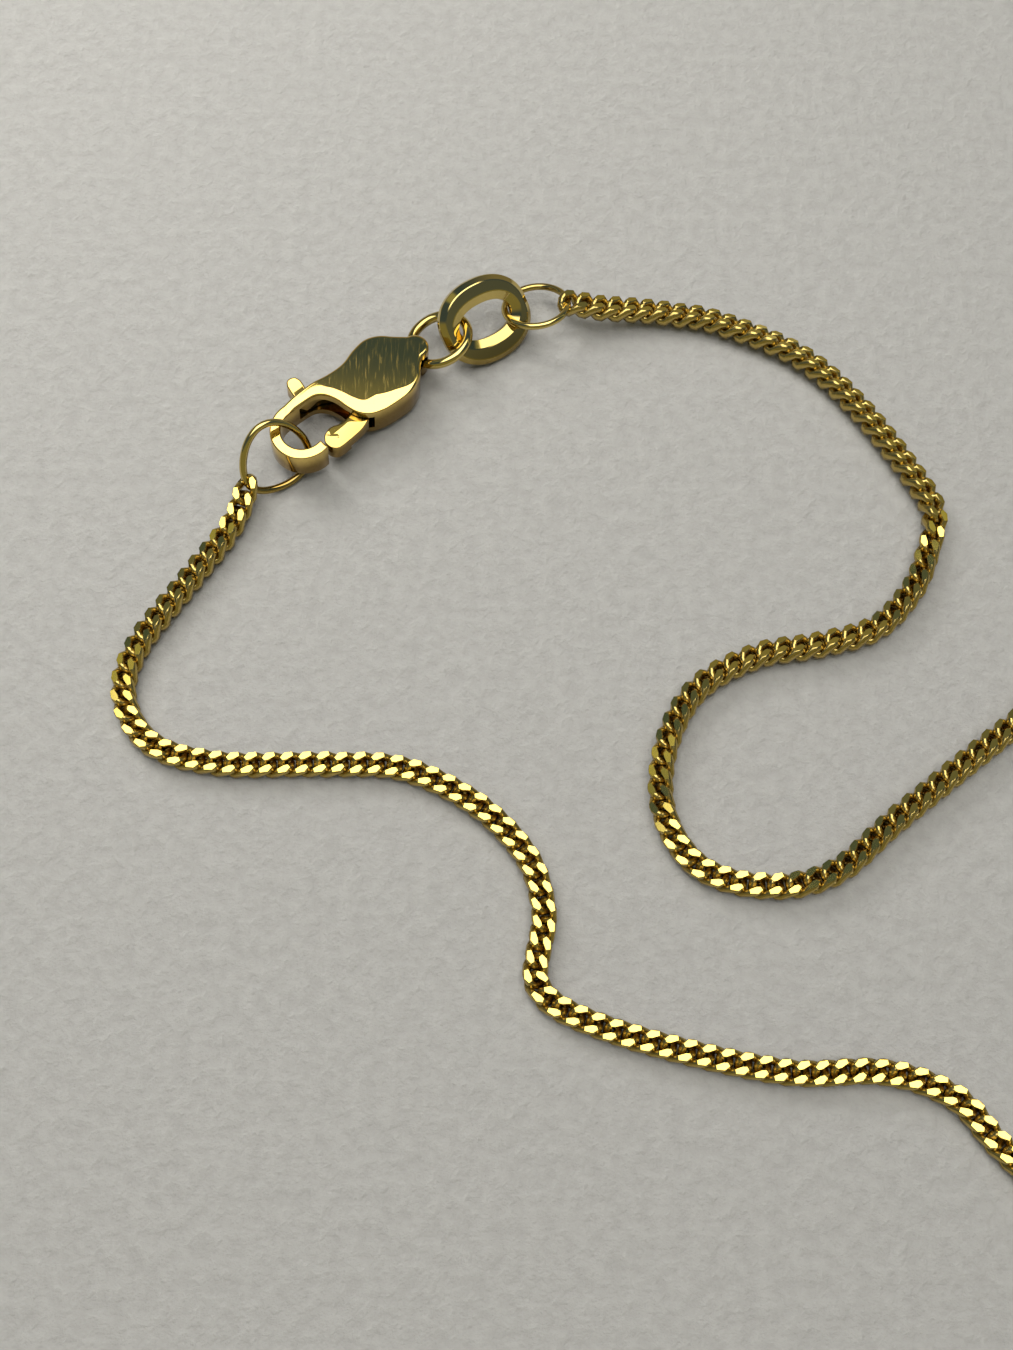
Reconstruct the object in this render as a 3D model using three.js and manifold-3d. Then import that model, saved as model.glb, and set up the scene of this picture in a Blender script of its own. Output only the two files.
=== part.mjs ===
// A fine gold anklet that lies closed in loose curves: a close curb chain, a lobster clasp with a sprung lever,
// three rings and a large end link. Millimetres, +Z up, resting on z = 0. The origin is the middle of the
// anklet's box at the surface it lies on. The curb links are fused into a tube of the chain's section.
import * as THREE from 'three';
import { mergeVertices } from 'three/addons/utils/BufferGeometryUtils.js';
import Module from 'manifold-3d';

const wasm = await Module();
wasm.setup();

// Driving sizes of the chain
const CHAIN_WIDTH = 1.15;        // across the flat chain
const CHAIN_THICKNESS = 0.95;    // through the flat chain
const CHAIN_CORNER = 0.3;        // how much of each corner of its section is rounded off
const CHAIN_STEP = 2.7;          // length of one straight piece of the tube
const STRAND_GAP = 0.3;          // between the two strands where they meet
const STRAND_SPLIT = 0.5;        // share of the chain's length at which they meet
const EYE_RADIUS = 0.47;         // centre line of the eye at each end of the chain
const EYE_WIRE = 0.34;           // diameter of its wire
const EYE_SINK = 0.14;           // how deep the eye sits in the tube's end

// Driving sizes of the rings: radius of the centre line and diameter of the wire
const CLASP_RING = { radius: 1.46, wire: 0.48 };
const CHAIN_RING = { radius: 1.54, wire: 0.34 };
const HOOK_RING = { halfLength: 1.7, halfWidth: 1.59, wire: 0.36, taper: 0.24 };
const END_LINK = { halfLength: 1.87, halfWidth: 1.42, square: 0.9, limbWidth: 0.92, sideWidth: 1.24, height: 0.84 };

// Where each ring lies: its middle, and its roll, pitch and heading in degrees
const CLASP_RING_PLACE = { x: -3.25, y: 16.8, z: 1.22, roll: -7.6, pitch: -16.5, heading: 0 };
const END_LINK_PLACE = { x: -1.07, y: 17.81, z: 1.4, roll: 38.5, pitch: 1.3, heading: 32 };
const CHAIN_RING_PLACE = { x: 1.44, y: 18.64, z: 1.27, roll: -19.8, pitch: -6.6, heading: 0 };
const HOOK_RING_PLACE = { x: -10.92, y: 10.27, z: 1.42, roll: 41.7, pitch: 38.4, heading: 0 };
const HOOK_RING_TURN = 253;      // degrees, how far its narrow end is turned in its own plane

// Driving sizes of the clasp. Its own x runs from the tail to the hook, its y towards the gate.
const CLASP_PLACE = { x: -3.94, y: 15.71, z: 0.03, roll: 0, pitch: -4, heading: 212.8 };
const CLASP_THICKNESS = 1.9;
const CLASP_BEVEL = 0.16;        // round of the body's edges
const PLATE = 0.5;               // each plate beside the lever
const HOOK_CENTRE = { x: 7.15, y: 0.6 };
const HOOK_OUTER = 1.55;         // outer radius of the hook
const HOOK_WALL = 0.52;          // width of the hook's rim
const HOOK_TIP_ANGLE = 113;      // degrees, where the rim ends at the gate
const HOOK_FOOT_ANGLE = -84;     // degrees, where the rim leaves the spine
const HOOK_TOP_DROP = 0.34;      // how much the hook's end is lower than the body's top
const HOOK_BASE_RISE = 0.14;     // how much its underside rises
const HOOK_TAPER_START = 5.4;    // x at which the hook starts to thin
const TAIL = { x: 0.32, y: -0.5, radius: 0.66 }; // round end of the tail
const RING_CLEARANCE = 0.1;      // between the tail's hole and the ring in it

// Driving sizes of the lever and its pivot
const PIVOT = { x: 3.3, y: 0.75 };
const PIVOT_RADIUS = 0.25;
const PIVOT_CLEARANCE = 0.06;    // radial, between the pin and the lever's hub
const PIVOT_SEAT_CLEARANCE = 0.03; // radial, between the pin and the body
const PIVOT_COVER = 0.2;         // metal left over the pin's blind end
const HUB_RADIUS = 0.5;
const LEVER_THICKNESS = 0.75;
const GATE_DROP = 0.34;          // how far the gate's outer end hangs below the tongue
const GATE_EDGE = 5.35;          // x from which the gate is thick
const GATE_SIDE = 0.4;           // y beyond which it is
const LEVER_BEVEL = 0.07;
const SLOT_CLEARANCE = 0.1;      // beside the lever as it turns

const ROUND_STEPS = 16;          // sides of a pin or a hole
const RING_STEPS = 28;           // pieces round a ring
const WIRE_SIDES = 10;           // sides of a ring's wire

// The chain's route from the chain ring, round the stretch at the right, to the hook ring, chosen by hand: x, y,
// and how far the chain is lifted off the surface. The first and last points are the middles of its end eyes.
const CHAIN_ROUTE = [
  { x: 2.98, y: 18.71, lift: 0.95 }, { x: 4.6, y: 18.62, lift: 0.6 }, { x: 6.5, y: 18.68, lift: 0.22 },
  { x: 8.4, y: 18.53, lift: 0.03 }, { x: 10.4, y: 18.1, lift: 0 }, { x: 14.2, y: 16.25, lift: 0 },
  { x: 16.9, y: 13.4, lift: 0 }, { x: 19.4, y: 9.4, lift: 0 }, { x: 20, y: 7.6, lift: 0 },
  { x: 19.6, y: 6, lift: 0 }, { x: 18.7, y: 4, lift: 0 }, { x: 16.9, y: 2.1, lift: 0 },
  { x: 14.3, y: 1.25, lift: 0 }, { x: 11.4, y: 0.7, lift: 0 }, { x: 8.6, y: -0.9, lift: 0 },
  { x: 7.1, y: -3.6, lift: 0 }, { x: 6.9, y: -6.6, lift: 0 }, { x: 8.4, y: -9.05, lift: 0 },
  { x: 11.4, y: -9.9, lift: 0 }, { x: 14.3, y: -9.25, lift: 0 }, { x: 17.2, y: -6.85, lift: 0 },
  { x: 22.6, y: -2.65, lift: 0 }, { x: 29.5, y: 2.5, lift: 0 }, { x: 37.5, y: 5.7, lift: 0 },
  { x: 45.8, y: 5, lift: 0 }, { x: 52.6, y: 0.3, lift: 0 }, { x: 55.9, y: -7.3, lift: 0 },
  { x: 54.7, y: -15.6, lift: 0 }, { x: 49.5, y: -22.2, lift: 0 }, { x: 41.8, y: -26.1, lift: 0 },
  { x: 33.2, y: -27.2, lift: 0 }, { x: 25.3, y: -25.6, lift: 0 }, { x: 20.6, y: -21.1, lift: 0 },
  { x: 18.6, y: -18.8, lift: 0 }, { x: 15.7, y: -17.75, lift: 0 }, { x: 11.7, y: -17.75, lift: 0 },
  { x: 6.3, y: -16.6, lift: 0 }, { x: 2.6, y: -15.3, lift: 0 }, { x: 1.3, y: -14.1, lift: 0 },
  { x: 1.35, y: -12.8, lift: 0 }, { x: 1.6, y: -11, lift: 0 }, { x: 0.9, y: -8.6, lift: 0 },
  { x: -1.3, y: -6.25, lift: 0 }, { x: -4.6, y: -4.6, lift: 0 }, { x: -8.3, y: -4.4, lift: 0 },
  { x: -12.8, y: -4.35, lift: 0 }, { x: -15.8, y: -3.45, lift: 0 }, { x: -17.2, y: -1.3, lift: 0 },
  { x: -16.8, y: 1.1, lift: 0 }, { x: -14.7, y: 4.35, lift: 0 }, { x: -13.2, y: 6.55, lift: 0.08 },
  { x: -12.5, y: 7.9, lift: 0.3 }, { x: -12.12, y: 9.13, lift: 0.6 },
];

const TAU = Math.PI * 2;
const radians = (degrees) => (degrees * Math.PI) / 180;
const gold = (color, roughness) => new THREE.MeshStandardMaterial({ color, roughness, metalness: 1 });
const BRIGHT_GOLD = gold(0xe6b84c, 0.16);
const CHAIN_GOLD = gold(0xd9a93f, 0.22);
const PIN_GOLD = gold(0xc9993a, 0.3);

// A closed three.js geometry as a solid for joins and cuts.
function solid(geometry) {
  const bare = geometry.index ? geometry.clone() : geometry;
  bare.deleteAttribute('normal');
  bare.deleteAttribute('uv');
  const merged = mergeVertices(bare, 1e-4);
  const mesh = new wasm.Mesh({
    numProp: 3,
    vertProperties: new Float32Array(merged.attributes.position.array),
    triVerts: new Uint32Array(merged.index.array),
  });
  return new wasm.Manifold(mesh);
}

// The geometry of a finished solid.
function geometryOf(body) {
  const mesh = body.getMesh();
  const geometry = new THREE.BufferGeometry();
  geometry.setAttribute('position', new THREE.BufferAttribute(new Float32Array(mesh.vertProperties), 3));
  geometry.setIndex(new THREE.BufferAttribute(new Uint32Array(mesh.triVerts), 1));
  geometry.computeVertexNormals();
  return geometry;
}

function piece(name, geometry, material) {
  const mesh = new THREE.Mesh(geometry, material);
  mesh.name = name;
  return mesh;
}

// Puts an object at its place: roll about its own x, then pitch about y, then heading about z.
function place(object, { x, y, z, roll, pitch, heading }) {
  object.position.set(x, y, z);
  object.rotation.order = 'ZYX';
  object.rotation.set(radians(roll), radians(pitch), radians(heading));
  object.updateMatrixWorld(true);
  return object;
}

// A closed wire round a flat loop: a torus whose points are set round the loop's centre line. The loop is a
// function of the angle, and the section's half width and half height may change with it.
function wireLoop(loop, halfWidth, halfHeight) {
  const geometry = new THREE.TorusGeometry(1, 0.5, WIRE_SIDES, RING_STEPS);
  const position = geometry.attributes.position;
  const nudge = 1e-4;
  for (let side = 0; side <= WIRE_SIDES; side += 1) {
    for (let step = 0; step <= RING_STEPS; step += 1) {
      const angle = (step % RING_STEPS) / RING_STEPS * TAU;
      const turn = (side % WIRE_SIDES) / WIRE_SIDES * TAU;
      const middle = loop(angle);
      const along = loop(angle + nudge).sub(loop(angle - nudge)).normalize();
      const outward = new THREE.Vector3(along.y, -along.x, 0);
      const point = middle.addScaledVector(outward, halfWidth(angle) * Math.cos(turn));
      point.z += halfHeight(angle) * Math.sin(turn);
      position.setXYZ(side * (RING_STEPS + 1) + step, point.x, point.y, point.z);
    }
  }
  return geometry;
}

// A plain round ring.
function roundRing({ radius, wire }) {
  return new THREE.TorusGeometry(radius, wire / 2, WIRE_SIDES, RING_STEPS);
}

const circleLoop = (radius) => (angle) => new THREE.Vector3(radius * Math.cos(angle), radius * Math.sin(angle), 0);

// The hook ring's centre line: an oval that narrows towards the chain, at angle 0.
function hookLoop(angle) {
  const { halfLength, halfWidth, taper } = HOOK_RING;
  const x = halfLength * Math.cos(angle);
  const y = halfWidth * Math.sin(angle) * (1 - taper * Math.cos(angle));
  return new THREE.Vector3(x, y, 0).applyAxisAngle(new THREE.Vector3(0, 0, 1), radians(HOOK_RING_TURN));
}

function hookRing() {
  const half = () => HOOK_RING.wire / 2;
  return wireLoop(hookLoop, half, half);
}

// The end link: a squarish oval whose two long limbs are wider than its ends.
function endLink({ halfLength, halfWidth, square, limbWidth, sideWidth, height }) {
  const rounded = (value) => Math.sign(value) * Math.abs(value) ** square;
  const loop = (angle) => new THREE.Vector3(
    halfLength * rounded(Math.cos(angle)), halfWidth * rounded(Math.sin(angle)), 0);
  const half = (angle) => (limbWidth + (sideWidth - limbWidth) * Math.abs(Math.sin(angle))) / 2;
  return wireLoop(loop, half, () => height / 2);
}

// A flat shape with rounded edges, from z = low to z = high, whose outline is the widest part.
function slab(shape, low, high, bevel, curveSegments = 5) {
  const geometry = new THREE.ExtrudeGeometry(shape, {
    depth: high - low - 2 * bevel,
    bevelEnabled: bevel > 0,
    bevelThickness: bevel,
    bevelSize: bevel,
    bevelOffset: -bevel,
    bevelSegments: 2,
    curveSegments,
  });
  geometry.translate(0, 0, low + bevel);
  return solid(geometry);
}

const points = (list) => list.map(([x, y]) => new THREE.Vector2(x, y));

// The clasp body's outline, drawn anticlockwise from the tail: the gate side, the S-shaped edge of the opening,
// the inside of the hook, its tip, its outside, the spine and the tail's round end.
function bodyOutline() {
  const inner = HOOK_OUTER - HOOK_WALL;
  const tip = radians(HOOK_TIP_ANGLE);
  const foot = radians(HOOK_FOOT_ANGLE);
  const rim = (radius, angle) => new THREE.Vector2(
    HOOK_CENTRE.x + radius * Math.cos(angle), HOOK_CENTRE.y + radius * Math.sin(angle));
  const outerFoot = rim(HOOK_OUTER, foot);
  const tailTop = [TAIL.x, TAIL.y - TAIL.radius];
  const shape = new THREE.Shape();
  shape.moveTo(...tailTop);
  shape.splineThru(points([
    [0.9, -1.52], [1.5, -1.92], [2.2, -2.07], [3.0, -1.84], [3.8, -1.45], [4.7, -1.3], [5.7, -1.26],
    [6.6, -1.13], [outerFoot.x, outerFoot.y],
  ]));
  shape.absarc(HOOK_CENTRE.x, HOOK_CENTRE.y, HOOK_OUTER, foot, tip, false);
  const innerTip = rim(inner, tip);
  shape.lineTo(innerTip.x, innerTip.y);
  shape.absarc(HOOK_CENTRE.x, HOOK_CENTRE.y, inner, tip, foot, true);
  shape.splineThru(points([
    [6.6, -0.56], [5.85, -0.62], [5.35, -0.36], [5.02, 0.1], [4.8, 0.66], [4.5, 1.2], [4.05, 1.55],
    [3.4, 1.68], [2.6, 1.66], [1.7, 1.5], [1.0, 1.05], [0.62, 0.5], [TAIL.x, TAIL.y + TAIL.radius],
  ]));
  shape.absarc(TAIL.x, TAIL.y, TAIL.radius, Math.PI / 2, -Math.PI / 2, false);
  return shape;
}

// What the lever sweeps between the plates, drawn with its clearance: round the hub, out at the gate side,
// across the opening and out at the spine.
function slotOutline() {
  const wall = HUB_RADIUS + SLOT_CLEARANCE;
  return new THREE.Shape(points([
    [PIVOT.x - wall, PIVOT.y + 0.2], [PIVOT.x - 0.4, PIVOT.y + wall], [3.85, PIVOT.y + wall], [3.85, 2.7],
    [6.5, 2.9], [6.5, 1.2], [6.68, -0.3], [6.68, -2.5], [3.6, -2.5], [3.3, -1.4], [2.9, -0.3],
    [PIVOT.x - wall, PIVOT.y - 0.4],
  ]));
}

// Wedges over and under the hook that thin it towards its end.
function hookWedge(edgeHeight, endHeight, farHeight) {
  const end = HOOK_CENTRE.x + HOOK_OUTER + 1;
  const reach = (end - HOOK_TAPER_START) / (HOOK_CENTRE.x + HOOK_OUTER - HOOK_TAPER_START);
  const shape = new THREE.Shape(points([
    [HOOK_TAPER_START, edgeHeight], [end, edgeHeight + (endHeight - edgeHeight) * reach],
    [end, farHeight], [HOOK_TAPER_START, farHeight],
  ]));
  const geometry = new THREE.ExtrudeGeometry(shape, { depth: 8, bevelEnabled: false });
  geometry.rotateX(Math.PI / 2);
  geometry.translate(0, 4, 0);
  return solid(geometry);
}

function pin(radius, low, high) {
  const geometry = new THREE.CylinderGeometry(radius, radius, high - low, ROUND_STEPS);
  geometry.rotateX(Math.PI / 2);
  geometry.translate(PIVOT.x, PIVOT.y, (low + high) / 2);
  return geometry;
}

// The way of the clasp ring through the tail.
function tailHole(ringMatrix) {
  const way = roundRing({ radius: CLASP_RING.radius, wire: CLASP_RING.wire + 2 * RING_CLEARANCE });
  way.applyMatrix4(ringMatrix);
  return solid(way);
}

function claspBody(ringMatrix) {
  const wedgeOver = hookWedge(CLASP_THICKNESS, CLASP_THICKNESS - HOOK_TOP_DROP, CLASP_THICKNESS + 1);
  const wedgeUnder = hookWedge(0, HOOK_BASE_RISE, -1);
  const seat = pin(PIVOT_RADIUS + PIVOT_SEAT_CLEARANCE, -1, CLASP_THICKNESS - PIVOT_COVER);
  return slab(bodyOutline(), 0, CLASP_THICKNESS, CLASP_BEVEL)
    .subtract(slab(slotOutline(), PLATE, CLASP_THICKNESS - PLATE, 0))
    .subtract(wedgeOver)
    .subtract(wedgeUnder)
    .subtract(solid(seat))
    .subtract(tailHole(ringMatrix));
}

// The lever: a hub on the pin, the gate to the hook's tip and an arm under the spine with the thumb tab.
function leverOutline() {
  const shape = new THREE.Shape();
  shape.moveTo(PIVOT.x - HUB_RADIUS, PIVOT.y);
  shape.splineThru(points([[3.15, 0.1], [3.75, -0.42], [4.5, -0.98], [5.3, -1.18], [5.78, -1.4]]));
  shape.lineTo(5.8, -1.95);
  shape.splineThru(points([[5.95, -2.2], [6.2, -2.26], [6.42, -2.18], [6.54, -1.95]]));
  shape.lineTo(6.54, -0.85);
  shape.splineThru(points([[6.2, -0.72], [5.4, -0.72], [4.6, -0.3], [4.3, 0.3], [4.75, 0.82], [5.3, 1.02],
    [5.9, 0.96], [6.35, 1.18]]));
  shape.lineTo(6.5, 1.5);
  shape.splineThru(points([[6.38, 1.86], [6.05, 2.08], [5.4, 1.98], [4.7, 1.8], [4.15, 1.6]]));
  shape.lineTo(3.92, PIVOT.y + HUB_RADIUS - 0.02);
  shape.lineTo(PIVOT.x, PIVOT.y + HUB_RADIUS);
  shape.absarc(PIVOT.x, PIVOT.y, HUB_RADIUS, Math.PI / 2, Math.PI, false);
  return shape;
}

function claspLever() {
  const low = (CLASP_THICKNESS - LEVER_THICKNESS) / 2;
  const high = low + LEVER_THICKNESS;
  const bore = pin(PIVOT_RADIUS + PIVOT_CLEARANCE, -1, CLASP_THICKNESS + 1);
  const underTongue = new THREE.BoxGeometry(10, 10, 2);
  underTongue.translate(GATE_EDGE - 5, 0, low - 1);
  const underArm = new THREE.BoxGeometry(10, 10, 2);
  underArm.translate(GATE_EDGE, GATE_SIDE - 5, low - 1);
  return slab(leverOutline(), low - GATE_DROP, high, LEVER_BEVEL, 4)
    .subtract(solid(underTongue).add(solid(underArm)))
    .subtract(solid(bore));
}

// A stretch of the chain's middle line between two shares of its length, nowhere lower than the surface lets it.
class Stretch extends THREE.Curve {
  constructor(curve, start, end) {
    super();
    this.curve = curve;
    this.start = start;
    this.end = end;
  }

  getPoint(share, target = new THREE.Vector3()) {
    this.curve.getPointAt(this.start + (this.end - this.start) * share, target);
    target.z = Math.max(target.z, CHAIN_THICKNESS / 2);
    return target;
  }

  // Frames that keep the chain's thickness upright.
  computeFrenetFrames(steps) {
    const frames = { tangents: [], normals: [], binormals: [] };
    for (let step = 0; step <= steps; step += 1) {
      const tangent = this.getTangentAt(step / steps);
      const upright = new THREE.Vector3(0, 0, 1).addScaledVector(tangent, -tangent.z).normalize();
      frames.tangents.push(tangent);
      frames.normals.push(upright);
      frames.binormals.push(new THREE.Vector3().crossVectors(tangent, upright));
    }
    return frames;
  }
}

function chainCurve() {
  const middle = CHAIN_ROUTE.map(({ x, y, lift }) => new THREE.Vector3(x, y, CHAIN_THICKNESS / 2 + lift));
  const curve = new THREE.CatmullRomCurve3(middle, false, 'centripetal');
  curve.arcLengthDivisions = 4000;
  return curve;
}

// The chain's section, an octagon: its x is the thickness, its y the width.
function chainSection() {
  const thick = CHAIN_THICKNESS / 2;
  const wide = CHAIN_WIDTH / 2;
  const corner = CHAIN_CORNER;
  return new THREE.Shape(points([
    [thick, wide - corner], [thick - corner, wide], [corner - thick, wide], [-thick, wide - corner],
    [-thick, corner - wide], [corner - thick, -wide], [thick - corner, -wide], [thick, corner - wide],
  ]));
}

// An eye at the end of a strand, standing across the ring that passes through it.
function chainEye(middle, towardsChain, ringTangent) {
  const geometry = new THREE.TorusGeometry(EYE_RADIUS, EYE_WIRE / 2, WIRE_SIDES, 14);
  const side = ringTangent.clone().normalize();
  const along = towardsChain.clone().addScaledVector(side, -towardsChain.dot(side)).normalize();
  const across = new THREE.Vector3().crossVectors(side, along);
  geometry.applyMatrix4(new THREE.Matrix4().makeBasis(along, across, side));
  geometry.translate(middle.x, middle.y, middle.z);
  return solid(geometry);
}

// One strand: the tube between two lengths along the chain, fused with its eye.
function chainStrand(curve, start, end, eye) {
  const total = curve.getLength();
  const stretch = new Stretch(curve, start / total, end / total);
  stretch.arcLengthDivisions = 1000;
  const tube = new THREE.ExtrudeGeometry(chainSection(), {
    steps: Math.round((end - start) / CHAIN_STEP),
    extrudePath: stretch,
  });
  return solid(tube).add(eye);
}

// The direction of a ring's centre line where it is nearest to a given point.
function ringTangent(loop, matrix, target) {
  const nudge = 0.01;
  let nearest = { distance: Infinity };
  for (let angle = 0; angle < TAU; angle += nudge) {
    const point = loop(angle).applyMatrix4(matrix);
    const distance = point.distanceTo(target);
    if (distance < nearest.distance) {
      nearest = { distance, tangent: loop(angle + nudge).applyMatrix4(matrix).sub(point).normalize() };
    }
  }
  return nearest.tangent;
}

function buildClasp(clasp, ringInClasp) {
  const pinLow = PIVOT_SEAT_CLEARANCE;
  const pinHigh = CLASP_THICKNESS - PIVOT_COVER - PIVOT_SEAT_CLEARANCE;
  clasp.add(
    piece('clasp_body', geometryOf(claspBody(ringInClasp)), BRIGHT_GOLD),
    piece('clasp_lever', geometryOf(claspLever()), BRIGHT_GOLD),
    piece('clasp_pivot', pin(PIVOT_RADIUS, pinLow, pinHigh), PIN_GOLD),
  );
}

function buildChain(chainRing, hookRingMesh) {
  const curve = chainCurve();
  const length = curve.getLength();
  const split = length * STRAND_SPLIT;
  const tubeStart = EYE_RADIUS + EYE_WIRE / 2 - EYE_SINK;
  const first = curve.getPointAt(0);
  const last = curve.getPointAt(1);
  const rightTangent = ringTangent(circleLoop(CHAIN_RING.radius), chainRing.matrixWorld, first);
  const leftTangent = ringTangent(hookLoop, hookRingMesh.matrixWorld, last);
  const rightEye = chainEye(first, curve.getTangentAt(0), rightTangent);
  const leftEye = chainEye(last, curve.getTangentAt(1).negate(), leftTangent);
  const right = chainStrand(curve, tubeStart, split - STRAND_GAP / 2, rightEye);
  const left = chainStrand(curve, split + STRAND_GAP / 2, length - tubeStart, leftEye);
  return [
    piece('chain_strand_right', geometryOf(right), CHAIN_GOLD),
    piece('chain_strand_left', geometryOf(left), CHAIN_GOLD),
  ];
}

function buildAnklet() {
  const pieces = new THREE.Group();
  const clasp = place(new THREE.Group(), CLASP_PLACE);
  const claspRing = place(piece('clasp_ring', roundRing(CLASP_RING), BRIGHT_GOLD), CLASP_RING_PLACE);
  const ringInClasp = clasp.matrixWorld.clone().invert().multiply(claspRing.matrixWorld);
  buildClasp(clasp, ringInClasp);
  const link = place(piece('end_link', endLink(END_LINK), BRIGHT_GOLD), END_LINK_PLACE);
  const chainRing = place(piece('chain_ring', roundRing(CHAIN_RING), BRIGHT_GOLD), CHAIN_RING_PLACE);
  const hookRingMesh = place(piece('hook_ring', hookRing(), BRIGHT_GOLD), HOOK_RING_PLACE);
  pieces.add(clasp, claspRing, link, chainRing, hookRingMesh, ...buildChain(chainRing, hookRingMesh));
  return pieces;
}

// The origin goes to the middle of the anklet's box, at its lowest point.
function centred(pieces) {
  const box = new THREE.Box3().setFromObject(pieces, true);
  const middle = box.getCenter(new THREE.Vector3());
  pieces.position.set(-middle.x, -middle.y, -box.min.z);
  return new THREE.Group().add(pieces);
}

export default centred(buildAnklet());
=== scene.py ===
"""Looks of a fine gold chain anklet that lies closed on pale paper.

The chain's curb links, the clasp's shaped plates, the lever, the rings and the large end link are surfaces
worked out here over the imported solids, in the same frame, in metres.
"""

import logging
import math
from dataclasses import dataclass, replace
from enum import Enum
from typing import Sequence

import bpy
import numpy as np
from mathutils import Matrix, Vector


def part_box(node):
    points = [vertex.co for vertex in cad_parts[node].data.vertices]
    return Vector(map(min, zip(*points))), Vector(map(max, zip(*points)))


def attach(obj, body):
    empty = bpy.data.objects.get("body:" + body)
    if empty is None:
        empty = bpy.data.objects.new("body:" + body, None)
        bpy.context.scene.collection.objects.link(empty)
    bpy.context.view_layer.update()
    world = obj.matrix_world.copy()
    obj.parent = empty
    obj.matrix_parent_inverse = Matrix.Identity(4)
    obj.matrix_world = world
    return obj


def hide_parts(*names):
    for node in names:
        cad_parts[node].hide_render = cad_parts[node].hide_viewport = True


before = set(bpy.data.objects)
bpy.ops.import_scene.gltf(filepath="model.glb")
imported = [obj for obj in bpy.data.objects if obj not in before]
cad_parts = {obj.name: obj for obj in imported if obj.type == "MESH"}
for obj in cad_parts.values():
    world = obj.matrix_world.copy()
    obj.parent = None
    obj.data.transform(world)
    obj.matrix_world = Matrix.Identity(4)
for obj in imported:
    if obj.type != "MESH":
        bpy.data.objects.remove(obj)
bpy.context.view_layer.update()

log = logging.getLogger("anklet")

MM = 0.001
TAU = 2 * math.pi
ROUTE_STEPS = 24      # pieces between two points of the chain's route
CURVE_STEPS = 8       # pieces between two points of the clasp's outline
RING_STEPS = 96       # pieces round a wire ring
WIRE_SIDES = 20       # sides of its wire

# The chain's route on the paper: x, y, how far it is lifted and how far it is rolled about its own length, in
# millimetres and degrees. It runs from the chain ring, round the stretch at the right, to the hook ring.
CHAIN_ROUTE = np.array([
    (2.98, 18.71, 0.95, 8), (4.6, 18.62, 0.6, 16), (6.5, 18.68, 0.22, 22), (8.4, 18.53, 0.03, 25),
    (10.4, 18.1, 0, 27), (14.2, 16.25, 0, 28), (16.9, 13.4, 0, 27), (19.4, 9.4, 0, 25),
    (20, 7.6, 0, 20), (19.6, 6, 0, -14), (18.7, 4, 0, -20), (16.9, 2.1, 0, -20),
    (14.3, 1.25, 0, -21), (11.4, 0.7, 0, -21), (8.6, -0.9, 0, -21), (7.1, -3.6, 0, -20),
    (6.9, -6.6, 0, -17), (8.4, -9.05, 0, -8), (11.4, -9.9, 0, 3), (14.3, -9.25, 0, 16),
    (17.2, -6.85, 0, 22), (22.6, -2.65, 0, 22), (29.5, 2.5, 0, 14), (37.5, 5.7, 0, 0),
    (45.8, 5, 0, 0), (52.6, 0.3, 0, 0), (55.9, -7.3, 0, 0), (54.7, -15.6, 0, 0),
    (49.5, -22.2, 0, 0), (41.8, -26.1, 0, 0), (33.2, -27.2, 0, 0), (25.3, -25.6, 0, 0),
    (20.6, -21.1, 0, 0), (18.6, -18.8, 0, 0), (15.7, -17.75, 0, 0), (11.7, -17.75, 0, 0),
    (6.3, -16.6, 0, 0), (2.6, -15.3, 0, 0), (1.3, -14.1, 0, 0), (1.35, -12.8, 0, 0),
    (1.6, -11, 0, 0), (0.9, -8.6, 0, 0), (-1.3, -6.25, 0, 0), (-4.6, -4.6, 0, 0),
    (-8.3, -4.4, 0, 0), (-12.8, -4.35, 0, 0), (-15.8, -3.45, 0, 0), (-17.2, -1.3, 0, 5),
    (-16.8, 1.1, 0, 13), (-14.7, 4.35, 0, 17), (-13.2, 6.55, 0.08, 13), (-12.5, 7.9, 0.3, -1),
    (-12.12, 9.13, 0.6, 0),
])


def middle_of(node: str) -> np.ndarray:
    """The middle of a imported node's box, in millimetres.

    Args:
        node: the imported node's name.

    Returns:
        Three numbers.
    """
    low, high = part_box(node)
    return (np.array(low) + np.array(high)) / 2 / MM


def turn(roll: float, pitch: float, heading: float) -> np.ndarray:
    """The turn by roll about x, then pitch about y, then heading about z, all in degrees.

    Args:
        roll: degrees about x.
        pitch: degrees about y.
        heading: degrees about z.

    Returns:
        A 3 by 3 matrix.
    """
    a, b, c = np.radians((roll, pitch, heading))
    about_x = np.array([[1, 0, 0], [0, np.cos(a), -np.sin(a)], [0, np.sin(a), np.cos(a)]])
    about_y = np.array([[np.cos(b), 0, np.sin(b)], [0, 1, 0], [-np.sin(b), 0, np.cos(b)]])
    about_z = np.array([[np.cos(c), -np.sin(c), 0], [np.sin(c), np.cos(c), 0], [0, 0, 1]])
    return about_z @ about_y @ about_x


@dataclass(frozen=True)
class Place:
    """Where a piece lies: its middle in millimetres of the picture's ground, and its turn in degrees."""

    x: float
    y: float
    z: float
    roll: float = 0.0
    pitch: float = 0.0
    heading: float = 0.0

    def put(self, points: np.ndarray) -> np.ndarray:
        """Points of the piece, turned and moved to its place in the part's frame.

        Args:
            points: any array whose last axis is x, y, z in millimetres.

        Returns:
            The same array in the part's frame, in millimetres.
        """
        spot = np.array([self.x, self.y, self.z]) + GROUND_SHIFT
        return points @ turn(self.roll, self.pitch, self.heading).T + spot


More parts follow.
